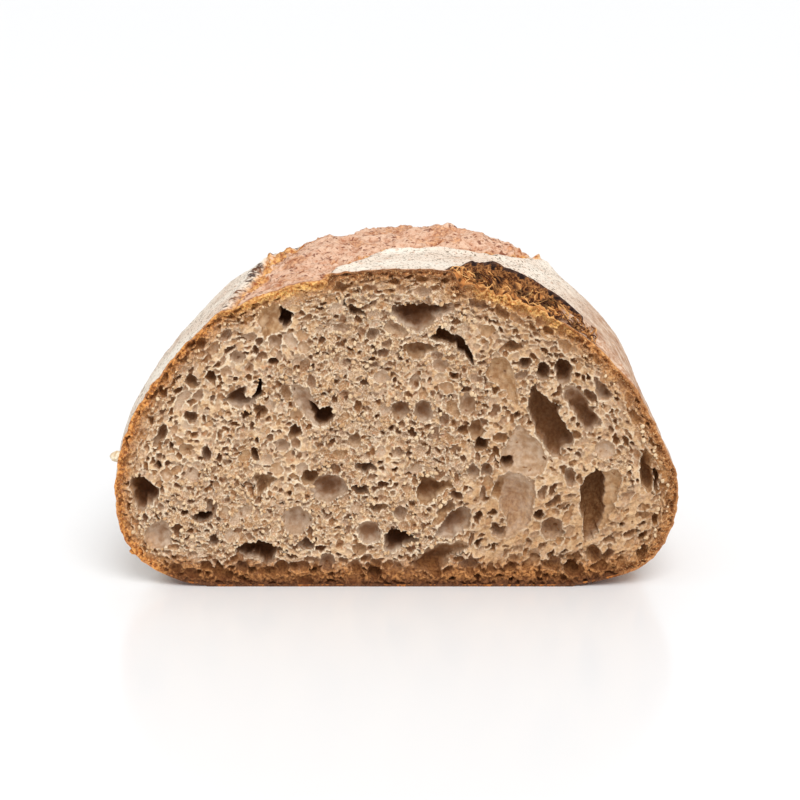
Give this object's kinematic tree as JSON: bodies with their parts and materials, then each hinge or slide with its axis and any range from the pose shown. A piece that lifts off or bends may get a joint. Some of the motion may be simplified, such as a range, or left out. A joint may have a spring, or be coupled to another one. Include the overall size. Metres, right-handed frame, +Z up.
{
  "type": "half wholemeal loaf",
  "caption": "Half of a round-ended rustic wholemeal loaf, cut across, with a floured slashed crust and an open holey crumb.",
  "frame": {"origin": "middle of the bounding box's underside, on the flat base", "axes": "+X along the cut, to the right as one looks at the cut face; +Y from the cut face towards the rounded end; +Z up"},
  "size_m": [0.1824, 0.1318, 0.1101],
  "materials": {
    "half_loaf": "matt baked crust with a coarse open crumb"
  },
  "bodies": {
    "root": {"half_loaf": "half_loaf"}
  },
  "joints": []
}
